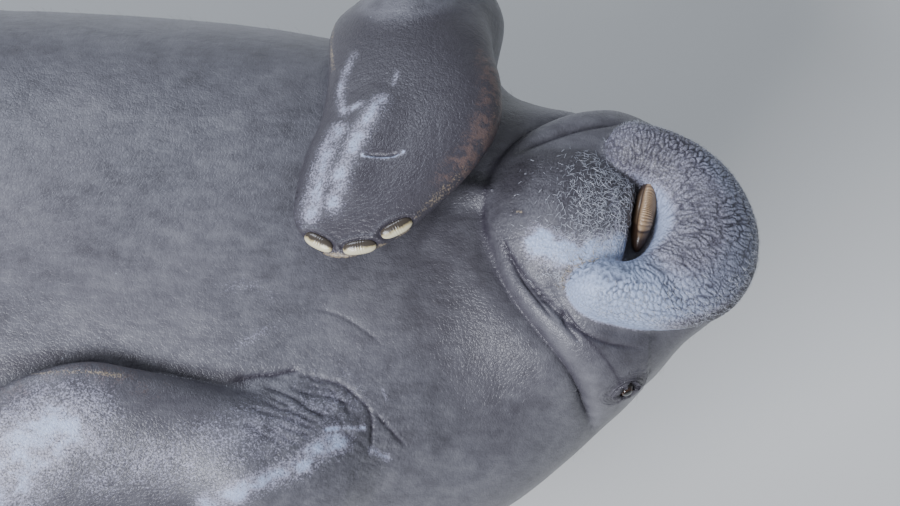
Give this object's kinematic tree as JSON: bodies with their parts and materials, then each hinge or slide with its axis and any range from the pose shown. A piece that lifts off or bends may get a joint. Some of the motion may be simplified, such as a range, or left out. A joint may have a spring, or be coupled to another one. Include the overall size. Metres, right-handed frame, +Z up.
{
  "type": "manatee model on a display stand",
  "caption": "Life-size still manatee floating belly up with its flippers folded over its chest, held on a flat base by short rods.",
  "frame": {"origin": "middle of the underside of the stand's base", "axes": "+X toward the snout, +Z up, which is the animal's belly side, -Y toward the animal's left"},
  "size_m": [2.8857, 0.7823, 0.8027],
  "materials": {
    "hide": "wet satin, finely wrinkled",
    "lip_hide": "wet satin, cobbled, with short pale bristles",
    "horn": "matte, ridged",
    "nail": "smooth horn",
    "eye": "wet gloss",
    "stand_board": "matte dark grey",
    "stand_steel": "brushed"
  },
  "bodies": {
    "root": {"torso_loin": "hide", "torso_belly": "hide", "torso_chest": "hide", "tail_root": "hide", "tail_paddle": "hide", "neck": "hide", "head": "hide", "muzzle": "hide", "lip_pad": "lip_hide", "chin": "lip_hide", "mouth_pad": "horn", "eye_right": "eye", "eye_left": "eye", "flipper_right": "hide", "flipper_left": "hide", "nail_right_1": "nail", "nail_right_2": "nail", "nail_right_3": "nail", "nail_left_1": "nail", "nail_left_2": "nail", "nail_left_3": "nail", "stand_base": "stand_board", "stand_rod_front": "stand_steel", "stand_rod_rear": "stand_steel"}
  },
  "joints": []
}
